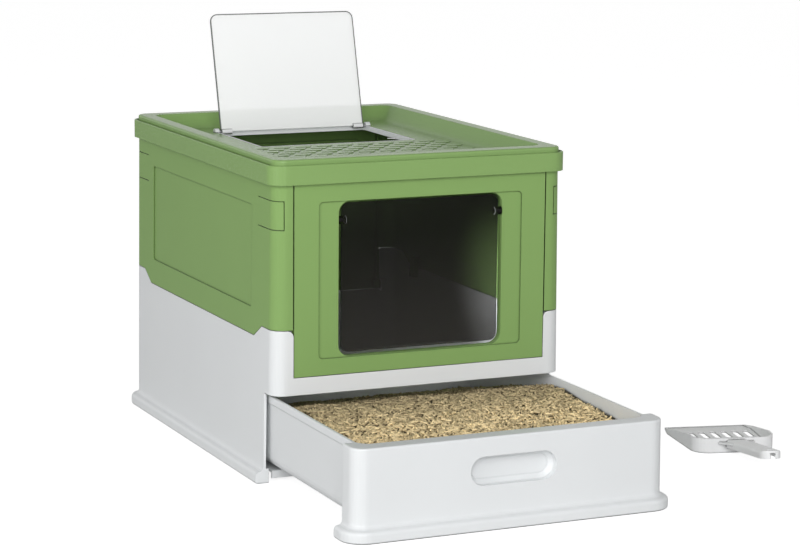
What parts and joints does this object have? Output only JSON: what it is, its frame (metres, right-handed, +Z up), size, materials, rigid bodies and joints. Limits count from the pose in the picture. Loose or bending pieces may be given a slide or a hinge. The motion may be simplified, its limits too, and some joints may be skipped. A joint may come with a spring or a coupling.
{
  "type": "drawer litter box",
  "caption": "Enclosed litter house with panel walls, lift-off lid, top hatch flap, swinging door flap and a pull-out litter drawer.",
  "frame": {"origin": "on the floor, at the centre of the house's footprint, which is the middle of the base's underside", "axes": "+X to the right seen from the front, +Y from the front to the back, +Z up; the drawer slides along Y"},
  "size_m": [0.6399, 0.708, 0.4778],
  "materials": {
    "white_plastic": "satin moulded",
    "green_plastic": "satin moulded",
    "smoked_sheet": "smoked, glossy",
    "clear_sheet": "clear with a milky cast, glossy",
    "steel_pin": "satin",
    "wood_pellets": "pressed pellets"
  },
  "bodies": {
    "house": {"base_frame": "white_plastic", "left_panel": "green_plastic", "right_panel": "green_plastic", "front_panel": "green_plastic", "rear_panel": "green_plastic", "front_flap_pins": "steel_pin"},
    "drawer": {"drawer_tray": "white_plastic", "litter_bed": "wood_pellets"},
    "door": {"front_flap": "smoked_sheet"},
    "lid_top": {"lid": "green_plastic", "hatch_frame": "white_plastic", "top_flap_pins": "steel_pin"},
    "hatch": {"top_flap": "clear_sheet"},
    "scoop_loose": {"scoop": "white_plastic"}
  },
  "joints": [
    {"name": "drawer_slide", "type": "slide", "parent": "house", "child": "drawer", "axis": [0, -1, 0], "range_m": [-0.2264, 0.205]},
    {"name": "door_swing", "type": "hinge", "parent": "house", "child": "door", "pos_m": [0, -0.225, 0.2883], "axis": [1, 0, 0], "range_deg": [-75, 75]},
    {"name": "lid_lift", "type": "slide", "parent": "house", "child": "lid_top", "axis": [0, 0, 1], "range_m": [0, 0.15]},
    {"name": "hatch_swing", "type": "hinge", "parent": "lid_top", "child": "hatch", "pos_m": [0, 0.1455, 0.3405], "axis": [1, 0, 0], "range_deg": [0, 105.2]},
    {"name": "scoop_lift", "type": "slide", "parent": "house", "child": "scoop_loose", "axis": [0, 0, 1], "range_m": [0, 0.15]}
  ]
}
